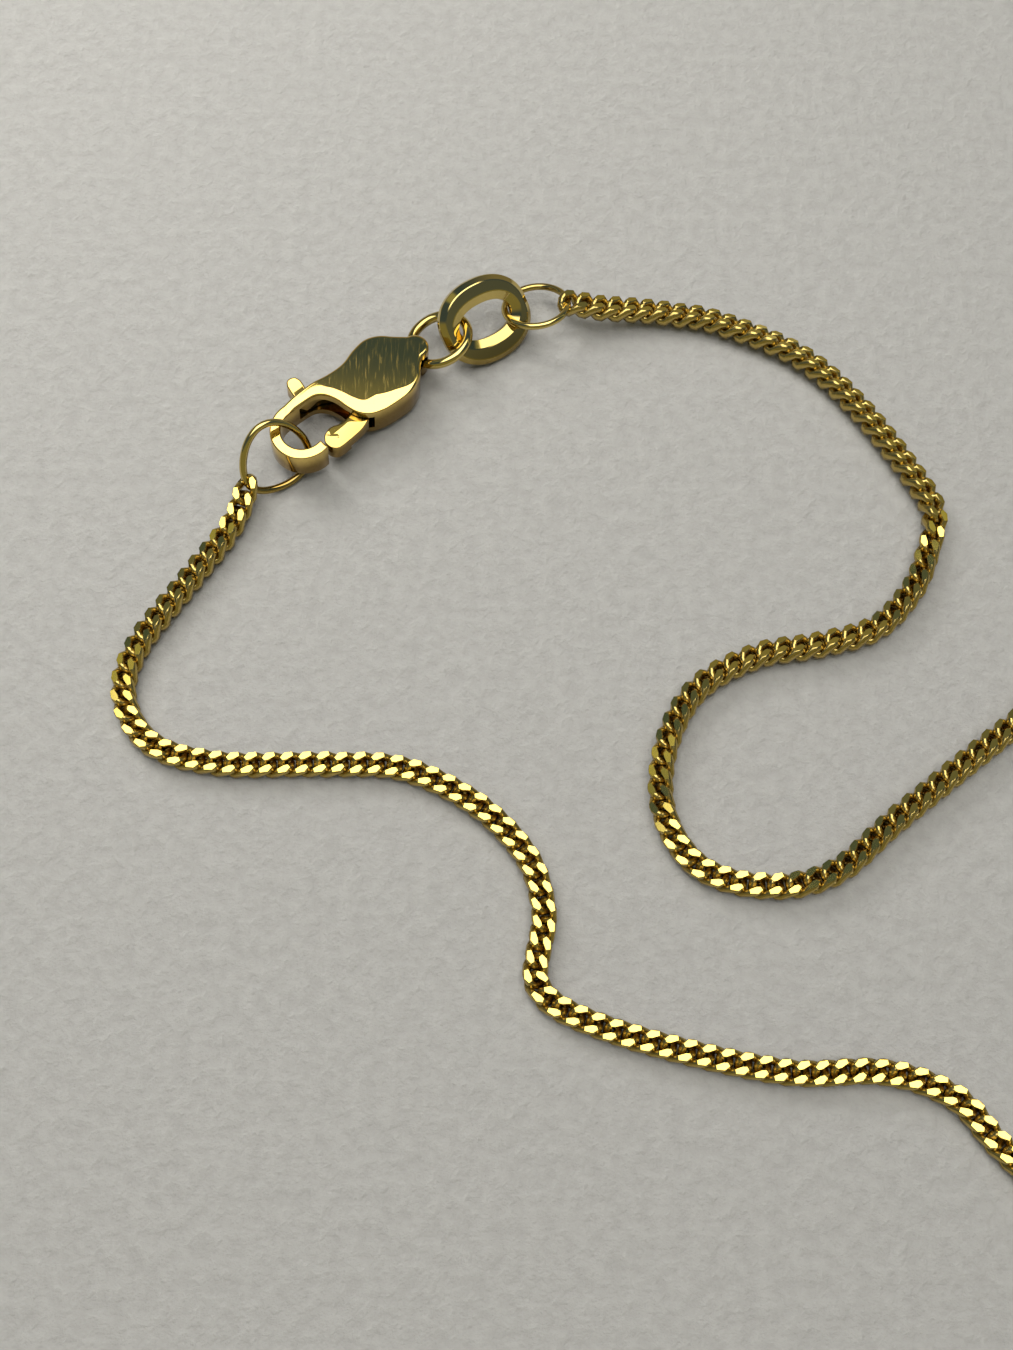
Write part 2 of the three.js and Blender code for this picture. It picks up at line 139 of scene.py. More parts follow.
CLASP_RING_PLACE = Place(-3.25, 16.8, 1.22, -7.6, -16.5)
END_LINK_PLACE = Place(-1.07, 17.81, 1.4, 38.5, 1.3, 32)
CHAIN_RING_PLACE = Place(1.44, 18.64, 1.27, -19.8, -6.6)
HOOK_RING_PLACE = Place(-10.92, 10.27, 1.42, 41.7, 38.4)
CLASP_PLACE = Place(-3.94, 15.71, 0.03, 0, -4, 212.8)
GROUND_SHIFT = middle_of("chain_ring") * (1, 1, 0) - np.array([CHAIN_RING_PLACE.x, CHAIN_RING_PLACE.y, 0])


def through(points: Sequence[Sequence[float]], steps: int) -> np.ndarray:
    """A smooth line through points: between two points the usual cubic whose slope at each point is half the
    way from its neighbour before to its neighbour after.

    Args:
        points: the points, each with any count of numbers.
        steps: how many pieces each stretch gets.

    Returns:
        The line's points, both ends included.
    """
    p = np.asarray(points, float)
    p = np.vstack([2 * p[0] - p[1], p, 2 * p[-1] - p[-2]])
    t = np.linspace(0, 1, steps, endpoint=False)[None, :, None]
    a, b, c, d = (p[i:len(p) - 3 + i, None, :] for i in range(4))
    line = 0.5 * (2 * b + (c - a) * t + (2 * a - 5 * b + 4 * c - d) * t**2 + (3 * b - a - 3 * c + d) * t**3)
    return np.vstack([line.reshape(-1, p.shape[1]), p[-2][None]])


def arc(middle: Sequence[float], radius: float, start: float, end: float, steps: int) -> np.ndarray:
    """Points of a circle's arc: middle + radius times cosine and sine of an even run of angles.

    Args:
        middle: x and y of the circle's middle.
        radius: its radius.
        start: first angle in degrees.
        end: last angle in degrees.
        steps: how many pieces.

    Returns:
        An array of steps + 1 points.
    """
    angle = np.radians(np.linspace(start, end, steps + 1))
    return np.stack([middle[0] + radius * np.cos(angle), middle[1] + radius * np.sin(angle)], -1)


def even_points(line: np.ndarray, count: int) -> tuple[np.ndarray, np.ndarray]:
    """The same closed line in even steps.

    Args:
        line: its points, of which the last one joins the first.
        count: how many points to give back.

    Returns:
        The even points, and each one's place on the old line, in points.
    """
    points = np.vstack([line, line[:1]])
    gaps = np.linalg.norm(np.diff(points, axis=0), axis=1)
    along = np.concatenate([[0], np.cumsum(gaps)])
    wanted = np.linspace(0, along[-1], count, endpoint=False)
    even = np.stack([np.interp(wanted, along, column) for column in points.T], -1)
    return even, np.interp(wanted, along, np.arange(len(points)))


def smoothed_step(value: np.ndarray, low: float, high: float) -> np.ndarray:
    """0 below low, 1 above high and a smooth S between them: 3 u squared less 2 u cubed.

    Args:
        value: the values.
        low: where the S starts.
        high: where it ends.

    Returns:
        The values' shares.
    """
    u = np.clip((value - low) / (high - low), 0, 1)
    return u * u * (3 - 2 * u)


def loop_faces(rows: int, columns: int, rows_closed: bool = True) -> np.ndarray:
    """Four-cornered faces of a grid of points whose last column joins the first.

    Args:
        rows: points along the first parameter.
        columns: points along the second one.
        rows_closed: whether the last row joins the first.

    Returns:
        An array of faces with four point numbers each.
    """
    i = np.arange(rows if rows_closed else rows - 1)[:, None]
    j = np.arange(columns)[None, :]
    k, m = (i + 1) % rows, (j + 1) % columns
    return np.stack([i * columns + j, k * columns + j, k * columns + m, i * columns + m], -1).reshape(-1, 4)


def make_piece(
        name: str, points: np.ndarray, faces: Sequence, flat: np.ndarray | None = None) -> bpy.types.Object:
    """A smooth-shaded mesh piece whose place is in its points.

    Args:
        name: the piece's name.
        points: its points in the part's frame, in millimetres.
        faces: lists of point numbers.
        flat: for each face, whether it is a flat cut that keeps its own normal.

    Returns:
        The new object.
    """
    mesh = bpy.data.meshes.new(name)
    mesh.from_pydata((points.reshape(-1, 3) * MM).tolist(), [], [list(map(int, face)) for face in faces])
    mesh.validate()
    smooth = np.ones(len(mesh.polygons), bool) if flat is None else ~flat
    mesh.polygons.foreach_set("use_smooth", smooth)
    mesh.calc_loop_triangles()
    corners = np.empty(len(mesh.loop_triangles) * 3, np.int32)
    mesh.loop_triangles.foreach_get("vertices", corners)
    places = np.empty(len(mesh.vertices) * 3)
    mesh.vertices.foreach_get("co", places)
    a, b, c = places.reshape(-1, 3)[corners.reshape(-1, 3)].transpose(1, 0, 2)
    if (a * np.cross(b, c)).sum() < 0:
        mesh.flip_normals()
    # The flat cuts are also stored as a face attribute, which the gold finish paints with a paler highlight
    # colour.
    facet = mesh.attributes.new("facet", "FLOAT", "FACE")
    facet.data.foreach_set("value", (~smooth).astype(np.float32))
    mesh.update()
    piece = bpy.data.objects.new(name, mesh)
    bpy.context.scene.collection.objects.link(piece)
    return piece


def finish_edges(piece: bpy.types.Object, angle: float) -> None:
    """Keeps edges sharper than an angle crisp, and lets large faces set the normals beside them.

    Args:
        piece: the piece.
        angle: degrees.
    """
    mesh = piece.data
    mesh.polygons.foreach_set("use_smooth", np.ones(len(mesh.polygons), bool))
    mesh.set_sharp_from_angle(angle=math.radians(angle))
    weighted = piece.modifiers.new("edges", "WEIGHTED_NORMAL")
    weighted.keep_sharp = True
    weighted.weight = 100


# ---- finishes ----


class Value:
    """A shader socket that takes part in plain arithmetic: each sum or product adds a Math node."""

    def __init__(self, bench: "Bench", socket: bpy.types.NodeSocket) -> None:
        """Keeps the bench that holds the nodes, and the socket."""
        self.bench = bench
        self.socket = socket

    def _with(self, operation: str, *others: "Value | float") -> "Value":
        """A Math node on this socket and the others."""
        values = [self.socket] + [o.socket if isinstance(o, Value) else o for o in others]
        return self.bench.add("ShaderNodeMath", {"operation": operation}, dict(enumerate(values)))

    def _turned(self, operation: str, other: float) -> "Value":
        """A Math node with a plain number first and this socket second."""
        return self.bench.add("ShaderNodeMath", {"operation": operation}, {0: other, 1: self.socket})

    def __add__(self, other: "Value | float") -> "Value":
        """Sum."""
        return self._with("ADD", other)

    __radd__ = __add__

    def __mul__(self, other: "Value | float") -> "Value":
        """Product."""
        return self._with("MULTIPLY", other)

    __rmul__ = __mul__

    def __sub__(self, other: "Value | float") -> "Value":
        """Difference."""
        return self._with("SUBTRACT", other)

    def __rsub__(self, other: float) -> "Value":
        """Difference from a plain number."""
        return self._turned("SUBTRACT", other)

    def angle_over(self, other: "Value") -> "Value":
        """The angle whose tangent is this over the other."""
        return self._with("ARCTAN2", other)

    def between(self, low: float, high: float) -> "Value":
        """0 below low, 1 above high and smooth between."""
        return self.bench.add(
            "ShaderNodeMapRange", {"interpolation_type": "SMOOTHSTEP"},
            {0: self.socket, 1: low, 2: high, 3: 0.0, 4: 1.0})


class Bench:
    """The node tree of one material or world."""

    def __init__(self, tree: bpy.types.NodeTree) -> None:
        """Starts from the empty tree."""
        self.tree = tree
        tree.nodes.clear()

    def add(self, kind: str, settings: dict, inputs: dict, output: int | str = 0) -> Value:
        """A node with its settings and inputs.

        Args:
            kind: the node's type.
            settings: its properties.
            inputs: sockets or numbers by input name or number.
            output: the output that is given back.

        Returns:
            The output as a Value.
        """
        node = self.tree.nodes.new(kind)
        for name, value in settings.items():
            setattr(node, name, value)
        for key, value in inputs.items():
            if isinstance(value, Value):
                value = value.socket
            if isinstance(value, bpy.types.NodeSocket):
                self.tree.links.new(value, node.inputs[key])
            else:
                node.inputs[key].default_value = value
        return Value(self, node.outputs[output])

    def blend(self, share: Value, first: Value | tuple, second: tuple) -> Value:
        """One colour, blended into a second one by the share."""
        return self.add("ShaderNodeMix", {"data_type": "RGBA"}, {0: share, 6: first, 7: (*second, 1.0)}, 2)

    def close(self, shader: Value, kind: str = "ShaderNodeOutputMaterial") -> None:
        """Links a finished shader to the tree's output."""
        output = self.tree.nodes.new(kind)
        self.tree.links.new(shader.socket, output.inputs["Surface"])


class Marks(Enum):
    """What wear a polished surface shows."""

    NONE = 0
    SCRATCHES = 1


@dataclass(frozen=True)
class Gold:
    """A polished gold finish."""

    name: str
    colour: tuple[float, float, float]  # the lit colour, at the height high and above it
    painted_shade: tuple[float, float, float]   # painted shade, at the height low and below it
    low: float                          # in millimetres
    high: float
    roughness: float
    marks: Marks = Marks.NONE
    dull: float = 0.0                   # how much rougher the metal is that isn't cut flat

    def material(self) -> bpy.types.Material:
        """The finish as a material: metal with painted shade that makes it browner towards the paper, a
        painted highlight that makes the flat cuts paler, smoother flat cuts, and roughness that varies in
        soft patches.

        Returns:
            The new material.
        """
        material = bpy.data.materials.new(self.name)
        material.use_nodes = True
        bench = Bench(material.node_tree)
        where = bench.add("ShaderNodeTexCoord", {}, {}, "Object")
        patches = bench.add("ShaderNodeTexNoise", {}, {"Vector": where, "Scale": PATCH_SCALE, "Detail": 3.0})
        roughness = self.roughness * (0.7 + 0.6 * patches)
        height = bench.add("ShaderNodeSeparateXYZ", {}, {0: where}, 2)
        facet = bench.add("ShaderNodeAttribute", {"attribute_name": "facet"}, {}, "Fac")
        # Painted shade: the colour darkens from the height high down to the height low, standing in for the
        # shade on the lower parts near the paper.
        colour = bench.blend(height.between(self.low * MM, self.high * MM), (*self.painted_shade, 1.0), self.colour)
        # Painted highlight: the flat cuts get a paler gold than the rest of the wire.
        colour = bench.blend(facet, colour, FACET_HIGHLIGHT_COLOUR)
        inputs = {"Base Color": colour, "Metallic": 1.0, "Roughness": roughness + self.dull * (1 - facet)}
        if self.marks is Marks.SCRATCHES:
            inputs["Roughness"] = roughness + SCRATCH_WEAR * self.scratches(bench, where)
        shader = bench.add("ShaderNodeBsdfPrincipled", {}, inputs)
        bench.close(shader)
        return material

    def scratches(self, bench: Bench, where: Value) -> Value:
        """Fine straight wear lines: noise stretched along one direction.

        Args:
            bench: the material's bench.
            where: the place on the piece.

        Returns:
            How worn the place is, from 0 to 1.
        """
        along = bench.add("ShaderNodeMapping", {}, {
            "Vector": where, "Rotation": (0.0, 0.0, math.radians(SCRATCH_TURN)), "Scale": SCRATCH_SCALE})
        lines = bench.add("ShaderNodeTexNoise", {}, {"Vector": along, "Scale": 1.0, "Detail": 2.0})
        return lines.between(0.5, 0.7)


PATCH_SCALE = 1400.0
SCRATCH_WEAR = 0.1
SCRATCH_TURN = 8.0
SCRATCH_SCALE = (12000.0, 1000.0, 1000.0)
# Painted highlight: the paler gold of the chain's flat cuts.
FACET_HIGHLIGHT_COLOUR = (0.82, 0.63, 0.14)
# Each gold's second colour is painted shade towards the paper, below the two heights in millimetres.
CLASP_GOLD = Gold("clasp_gold", (0.79, 0.57, 0.17), (0.3, 0.19, 0.045), 1.2, 2.1, 0.05, Marks.SCRATCHES)
# Painted shade: the rings' and the end link's gold is a darker copy of the clasp's, standing in for their dim
# reflections.
RING_GOLD = Gold("ring_gold", (0.62, 0.48, 0.16), (0.34, 0.24, 0.07), 0.2, 1.8, 0.07)
# Painted shade: the chain wire's gold is darker and browner than the clasp's, standing in for the dim light
# in the chain's sides and gaps.
CHAIN_GOLD = Gold("chain_gold", (0.5, 0.37, 0.11), (0.4, 0.27, 0.07), 0.1, 0.75, 0.12, dull=0.12)


def dress(piece: bpy.types.Object, material: bpy.types.Material, body: str, slot: str, *nodes: str) -> None:
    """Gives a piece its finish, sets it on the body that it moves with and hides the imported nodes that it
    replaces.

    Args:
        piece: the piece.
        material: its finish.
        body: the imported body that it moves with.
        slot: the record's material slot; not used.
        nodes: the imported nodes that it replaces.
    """
    piece.data.materials.clear()
    piece.data.materials.append(material)
    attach(piece, body)
    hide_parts(*nodes)
    log.info("%s: %d faces", piece.name, len(piece.data.polygons))


# ---- the chain ----


@dataclass(frozen=True)
class CurbChain:
    """The close curb chain: links of round wire, twisted until they lie in line, cut flat on both sides."""

    pitch: float = 0.8          # from one link to the next
    half_length: float = 0.6    # of a link's centre line
    half_width: float = 0.4
    square: float = 0.8         # the power that makes its oval squarish
    wire: float = 0.4           # the wire's diameter
    twist: float = -30.0        # of each half of a link, in degrees
    knee: float = 0.35          # how far from its middle the twist is full
    deepen: float = 1.45        # how much a link is stretched upright before it is cut
    cut: float = 0.43           # height of the flat cuts above and below its middle
    first_link: float = 0.28    # from the route's ends to the first and the last link
    side_sink: float = 0.1      # how far a rolled link's side settles
    wobble: float = 1.6         # how loosely the links lie, in degrees
    seed: int = 4
    stations: tuple[float, ...] = (12, 34, 56, 78)          # corners of a quarter of its oval, in degrees
    corners: tuple[float, float, float] = (26, 72, 35)      # least and most where it is cut, and elsewhere

    def middle_line(self, angle: np.ndarray) -> np.ndarray:
        """A link's centre line: a squarish oval, x = half_length cos t and y = half_width sin t with cosine
        and sine raised to a power below 1, turned about x by the twist, which is full beyond the knee and
        follows a sine of x within it.

        Args:
            angle: the angles t.

        Returns:
            The points, in millimetres.
        """
        cosine, sine = np.cos(angle), np.sin(angle)
        x = self.half_length * np.sign(cosine) * np.abs(cosine) ** self.square
        side = self.half_width * np.sign(sine) * np.abs(sine) ** self.square
        grown = np.sin(math.pi / 2 * np.minimum(1, np.abs(x) / self.knee))
        lean = math.radians(self.twist) * np.sign(x) * grown
        return np.stack([x, side * np.cos(lean), side * np.sin(lean)], -1)

    def link(self) -> tuple[np.ndarray, np.ndarray, np.ndarray]:
        """One link about its own middle: a round wire along the centre line, deepened in z and cut flat.

        The section has one corner outwards and two each above and below. Where the wire stands past the
        cut those corners lie on the cut's edge, at the angle whose sine is the cut's height over the wire's
        reach.

        Returns:
            Its points, its faces, and for each face whether it is part of a flat cut.
        """
        near = np.radians(self.stations)
        least, most, free = np.radians(self.corners)
        step = 0.03
        t = np.concatenate([near, math.pi - near[::-1], near + math.pi, TAU - near[::-1]])
        line = self.middle_line(t)
        along = self.middle_line(t + step) - self.middle_line(t - step)
        along /= np.linalg.norm(along, axis=1)[:, None]
        outward = np.stack([along[:, 1], -along[:, 0], 0 * along[:, 0]], -1)
        outward /= np.linalg.norm(outward, axis=1)[:, None]
        upright = np.cross(outward, along)
        reach = self.wire / 2 * self.deepen * upright[:, 2]
        height = line[:, 2] * self.deepen

        def corner(distance: np.ndarray) -> np.ndarray:
            """The angle of the corner at a distance above the wire's middle: between the least and the most
            where the wire reaches the cut, and a free one where it stays below."""
            share = distance / reach
            on_cut = np.clip(np.arcsin(np.clip(share, -1, 1)), least, most)
            return np.where(share < math.sin(most), on_cut, free)

        above, below = corner(self.cut - height), corner(self.cut + height)
        section = np.stack([0 * t, above, math.pi - above, math.pi + below, -below], -1)
        across = np.cos(section)[..., None] * outward[:, None, :]
        up = np.sin(section)[..., None] * upright[:, None, :]
        points = line[:, None, :] + self.wire / 2 * (across + up)
        points[..., 2] = np.clip(points[..., 2] * self.deepen, -self.cut, self.cut)
        faces = loop_faces(len(t), section.shape[1])
        flat = np.all(np.abs(points.reshape(-1, 3)[faces][..., 2]) > self.cut - 1e-3, axis=1)
        log.info("link: %d faces, %d of them cut flat", len(faces), flat.sum())
        return points.reshape(-1, 3), faces, flat

    def places(self) -> tuple[np.ndarray, np.ndarray]:
        """Where each link lies along the route, and its three directions.

        Returns:
            The links' middles in the part's frame, and a matrix for each whose columns are its x, y and z.
        """
        route = CHAIN_ROUTE.copy()
        route[:, :2] += GROUND_SHIFT[:2]
        line = through(route, ROUTE_STEPS)
        along = np.concatenate([[0], np.cumsum(np.linalg.norm(np.diff(line[:, :3], axis=0), axis=1))])
        length = along[-1]
        links = int(round((length - 2 * self.first_link) / self.pitch)) + 1
        wanted = np.linspace(self.first_link, length - self.first_link, links)

        def at(place: np.ndarray) -> np.ndarray:
            """The route's numbers at lengths along it."""
            return np.stack([np.interp(place, along, column) for column in line.T], -1)

        here = at(wanted)
        middle = here[:, :3].copy()
        middle[:, 2] = np.maximum(middle[:, 2], 0)
        x_axis = (at(wanted + self.pitch / 2) - at(wanted - self.pitch / 2))[:, :3]
        x_axis /= np.linalg.norm(x_axis, axis=1)[:, None]
        loose = np.random.default_rng(self.seed).normal(0, self.wobble, (links, 2))
        roll = np.radians(here[:, 3] + loose[:, 0])
        z_axis = np.array([0, 0, 1.0]) - x_axis[:, 2:3] * x_axis
        z_axis /= np.linalg.norm(z_axis, axis=1)[:, None]
        y_axis = np.cross(z_axis, x_axis)
        rolled_z = z_axis * np.cos(roll)[:, None] + y_axis * np.sin(roll)[:, None]
        rolled_y = y_axis * np.cos(roll)[:, None] - z_axis * np.sin(roll)[:, None]
        side = self.half_width + self.wire / 2 - self.side_sink
        middle[:, 2] += self.cut * np.cos(roll) + side * np.abs(np.sin(roll))
        log.info("route %.1f mm long, %d links", length, links)
        return middle, np.stack([x_axis, rolled_y, rolled_z], -1)

    def build(self) -> None:
        """Makes the two strands out of links and dresses them."""
        points, faces, flat = self.link()
        middle, axes = self.places()
        material = CHAIN_GOLD.material()
        half = len(middle) // 2
        for name, span in (("chain_strand_right", slice(0, half)), ("chain_strand_left", slice(half, None))):
            placed = np.einsum("nij,pj->npi", axes[span], points) + middle[span][:, None, :]
            count = len(placed)
            numbered = faces[None] + (np.arange(count) * len(points))[:, None, None]
            strand = make_piece(
                name.replace("strand", "links"), placed, numbered.reshape(-1, 4), np.tile(flat, count))
            dress(strand, material, "anklet", "chain_gold", name)


# ---- the rings ----


@dataclass(frozen=True)
class WireRing:
    """A ring of round wire: a circle, or an oval that narrows at one end."""

    node: str
    place: Place
    half_length: float      # of its centre line
    half_width: float
    wire: float             # the wire's diameter
    taper: float = 0.0      # how much one end is narrower
    own_turn: float = 0.0   # in its own plane, in degrees

    def build(self, material: bpy.types.Material) -> None:
        """Makes and dresses the ring.

        Its line is x = half_length cos a and y = half_width sin a (1 - taper cos a), turned in its own plane,
        and its section is a circle on the outward and upright directions.

        Args:
            material: its finish.
        """
        a = np.linspace(0, TAU, RING_STEPS, endpoint=False)
        step = 1e-4

        def line(angle: np.ndarray) -> np.ndarray:
            """The ring's centre line."""
            return np.stack([
                self.half_length * np.cos(angle),
                self.half_width * np.sin(angle) * (1 - self.taper * np.cos(angle)), 0 * angle], -1)

        along = line(a + step) - line(a - step)
        along /= np.linalg.norm(along, axis=1)[:, None]
        outward = np.stack([along[:, 1], -along[:, 0], 0 * a], -1)
        b = np.linspace(0, TAU, WIRE_SIDES, endpoint=False)[None, :, None]
        points = line(a)[:, None, :] + self.wire / 2 * (
            np.cos(b) * outward[:, None, :] + np.sin(b) * np.array([0, 0, 1.0]))
        points = points @ turn(0, 0, self.own_turn).T
        ring = make_piece(self.node + "_wire", self.place.put(points), loop_faces(RING_STEPS, WIRE_SIDES))
        dress(ring, material, "anklet", "ring_gold", self.node)


CLASP_RING = WireRing("clasp_ring", CLASP_RING_PLACE, 1.46, 1.46, 0.48)
CHAIN_RING = WireRing("chain_ring", CHAIN_RING_PLACE, 1.54, 1.54, 0.34)
HOOK_RING = WireRing("hook_ring", HOOK_RING_PLACE, 1.7, 1.59, 0.36, 0.24, 253)


@dataclass(frozen=True)
class EndLink:
    """The large flattened link: a squarish oval whose long limbs are wider than its ends, with cut edges."""

    half_length: float = 1.87       # of its centre line
    half_width: float = 1.42
    square: float = 0.9             # the power that makes its oval squarish
    end_width: float = 0.92         # of the bar at the link's ends
    side_width: float = 1.24        # of the bar on the long limbs
    height: float = 0.84
    outer_chamfer: float = 0.26     # how far in the slants reach
    inner_chamfer: float = 0.42
    side_wall: float = 0.16         # half the height of the upright sides
    soft_edge: float = 0.03         # how far each corner's two points lie from it
    steps: int = 120                # pieces round the link
    sharpness: float = 12.0         # degrees from which an edge stays crisp

    def build(self) -> None:
        """Makes and dresses the link.

        Its line is the oval with cosine and sine raised to a power below 1, which makes it squarer, and its
        section is a flat bar whose four edges are cut off at a slant, wider on the long limbs.
        """
        a = np.linspace(0, TAU, self.steps, endpoint=False)
        step = 0.02

        def rounded(value: np.ndarray, power: float) -> np.ndarray:
            """The value with its size raised to a power and its sign kept."""
            return np.sign(value) * np.abs(value) ** power

        def line(angle: np.ndarray) -> np.ndarray:
            """The link's centre line."""
            return np.stack([
                self.half_length * rounded(np.cos(angle), self.square),
                self.half_width * rounded(np.sin(angle), self.square), 0 * angle], -1)

        along = line(a + step) - line(a - step)
        along /= np.linalg.norm(along, axis=1)[:, None]
        outward = np.stack([along[:, 1], -along[:, 0], 0 * a], -1)
        half = (self.end_width + (self.side_width - self.end_width) * np.abs(np.sin(a))) / 2
        tall, wall, soft = self.height / 2, self.side_wall, self.soft_edge
        # The eight corners, each as two points a little to its sides: how far across and how far up.
        across, up = [], []
        for sign_across, sign_up in ((1, 1), (-1, 1), (-1, -1), (1, -1)):
            slant = self.outer_chamfer if sign_across > 0 else self.inner_chamfer
            corner = [(half, wall - soft), (half - soft * 0.6, wall + soft * 0.6),
                      (half - slant + soft * 0.7, tall - soft * 0.5), (half - slant - soft, tall)]
            corner = corner if sign_across * sign_up > 0 else corner[::-1]
            across += [sign_across * (c[0] + 0 * a) for c in corner]
            up += [sign_up * (c[1] + 0 * a) for c in corner]
        points = line(a)[:, None, :] + np.stack(across, 1)[..., None] * outward[:, None, :] + (
            np.stack(up, 1)[..., None] * np.array([0, 0, 1.0]))
        link = make_piece("end_link_cut", END_LINK_PLACE.put(points), loop_faces(self.steps, len(across)))
        finish_edges(link, self.sharpness)
        dress(link, RING_GOLD.material(), "anklet", "link_gold", "end_link")


# ---- the clasp ----


@dataclass(frozen=True)
class Clasp:
    """The trigger clasp: a body cut from one plate with a hook, a slot for the lever, and the lever itself.

    Its own x runs from the tail to the hook and its y towards the gate.
    """

    thickness: float = 1.9
    plate: float = 0.5              # each plate beside the lever
    edge: float = 0.16              # the round of its edges
    rim_edge: float = 0.08          # the round of the hook's edges
    spine_edge: float = 0.11        # the round of the spine's edge beside the hook
    hook_x: float = 7.15            # the hook's middle
    hook_y: float = 0.6
    hook_outer: float = 1.55        # its outer radius
    hook_wall: float = 0.52         # the width of its rim
    tip_angle: float = 113.0        # where the rim ends at the gate, in degrees
    foot_angle: float = -84.0       # where the rim leaves the spine
    top_drop: float = 0.34          # how much the hook's end is lower than the body's top
    base_rise: float = 0.14         # how much its underside is higher
    taper_start: float = 5.4        # x at which the hook starts to thin
    tail_x: float = 0.32            # the tail's round end
    tail_y: float = -0.5
    tail_radius: float = 0.66
    ring_clearance: float = 0.1     # between the tail and the ring through it
    pivot_x: float = 3.3
    pivot_y: float = 0.75
    hub_radius: float = 0.5
    hub_bore: float = 0.31          # radius of the hub's hole for the pin
    slot_clearance: float = 0.1     # round the hub
    lever_thickness: float = 0.75
    lever_edge: float = 0.09        # the round of the lever's edges
    gate_drop: float = 0.34         # how far the gate hangs below the tongue
    gate_band: float = 0.6          # how wide the gate's slope is
    steepness: float = 0.21         # fall of the slopes for each millimetre inwards
    tab_start: float = -1.5         # y beyond which the thumb tab slopes up
    tab_rise: float = 0.15          # its rise for each millimetre

    def outline(self) -> tuple[np.ndarray, np.ndarray]:
        """The body's outline from the tail along the spine, round the hook and back by the opening.

        Returns:
            Even points of the closed line, and how far the top's round or slope reaches in at each.
        """
        hook = (self.hook_x, self.hook_y)
        inner = self.hook_outer - self.hook_wall
        outside = arc(hook, self.hook_outer, self.foot_angle, self.tip_angle, 60)
        inside = arc(hook, inner, self.tip_angle, self.foot_angle, 50)
        spine = through([
            (self.tail_x, self.tail_y - self.tail_radius), (0.9, -1.52), (1.5, -1.92), (2.2, -2.07),
            (3.0, -1.84), (3.8, -1.45), (4.7, -1.3), (5.7, -1.26), (6.6, -1.13), tuple(outside[0])],
            CURVE_STEPS)
        opening = through([
            tuple(inside[-1]), (6.6, -0.56), (5.85, -0.62), (5.35, -0.36), (5.02, 0.1), (4.8, 0.66),
            (4.5, 1.2), (4.05, 1.55), (3.4, 1.68), (2.6, 1.66), (1.7, 1.5), (1.0, 1.05), (0.62, 0.5),
            (self.tail_x, self.tail_y + self.tail_radius)], CURVE_STEPS)
        tail = arc((self.tail_x, self.tail_y), self.tail_radius, 90, 270, 20)
        # The S-shaped slope along the opening: shares of the opening's length, and the slope's width there.
        shares = [0, 0.12, 0.3, 0.5, 0.62, 0.72, 0.8, 1.0]
        widths = [self.rim_edge, 0.34, 0.42, 0.66, 0.8, 0.5, self.edge, self.edge]
        opening_band = np.interp(np.linspace(0, 1, len(opening)), shares, widths)
        spine_band = np.interp(spine[:, 0], [4.8, 5.6], [self.edge, self.spine_edge])
        foot_band = np.interp(np.arange(len(outside) - 1), [0, 10], [self.spine_edge, self.rim_edge])
        line = np.vstack([spine[:-1], outside[:-1], inside[:-1], opening[:-1], tail[:-1]])
        band = np.concatenate([
            spine_band[:-1], foot_band, np.full(len(inside) - 1, self.rim_edge), opening_band[:-1],
            np.full(len(tail) - 1, self.edge)])
        even, index = even_points(line, 320)
        width = np.interp(index, np.arange(len(band) + 1), np.append(band, band[0]))
        return even, width

    def thinned(self, points: np.ndarray) -> np.ndarray:
        """The points with the hook thinned towards its end, above and below, in proportion to x.

        Args:
            points: points of a body that is full thickness everywhere.

        Returns:
            The changed points.
        """
        reach = self.hook_x + self.hook_outer - self.taper_start
        share = np.clip((points[..., 0] - self.taper_start) / reach, 0, 1)
        low, high = self.base_rise * share, self.thickness - self.top_drop * share
        thin = points.copy()
        thin[..., 2] = low + points[..., 2] / self.thickness * (high - low)
        return thin

    def rounded_plate(
            self, line: np.ndarray, bands: np.ndarray, low: float, high: float,
            folded: np.ndarray) -> tuple[np.ndarray, list]:
        """A flat shape whose edges are rounded: rings of the outline, each set in and raised along a quarter
        of an oval, and two flat faces at each end. Where a band is wider than the edge the top slopes down
        to it.

        Args:
            line: the closed outline, anticlockwise.
            bands: how far the top's slope reaches in at each point.
            low: its underside.
            high: its top.
            folded: whether each point is on the part that gets another slope, one run of the outline.

        Returns:
            The points and the faces.
        """
        ahead, behind = np.roll(line, -1, 0), np.roll(line, 1, 0)
        along = ahead - behind
        along /= np.linalg.norm(along, axis=1)[:, None]
        inward = np.stack([-along[:, 1], along[:, 0]], -1)
        angle = np.radians(np.linspace(0, 90, 7))
        foot = np.minimum(bands, self.edge) * (1 - 0.45 * smoothed_step(bands, self.edge, 3 * self.edge))
        slope = self.steepness * np.maximum(0, bands - self.edge)
        rings = []
        even = 0 * bands
        for a in angle[::-1]:
            rings.append((even + self.edge * (1 - math.cos(a)), even + low + self.edge * (1 - math.sin(a))))
        for a in angle:
            rings.append((foot * (1 - math.cos(a)), high - slope - foot * (1 - math.sin(a))))
        for share in (0.5, 0.97, 1.0):
            rings.append((foot + (bands + 0.02 - foot) * share, high - slope * (1 - share)))
        points = np.stack([
            np.column_stack([line + inward * inset[:, None], height]) for inset, height in rings])
        count = len(line)
        faces = loop_faces(len(rings), count, rows_closed=False)[:, ::-1].tolist()
        start = int(np.flatnonzero(folded & ~np.roll(folded, 1))[0])
        order = np.roll(np.arange(count), -start)
        run = int(folded.sum())
        for half in (order[:run + 1], np.append(order[run:], order[0])):
            faces.append(half[::-1].tolist())
            faces.append((half + (len(rings) - 1) * count).tolist())
        return points.reshape(-1, 3), faces

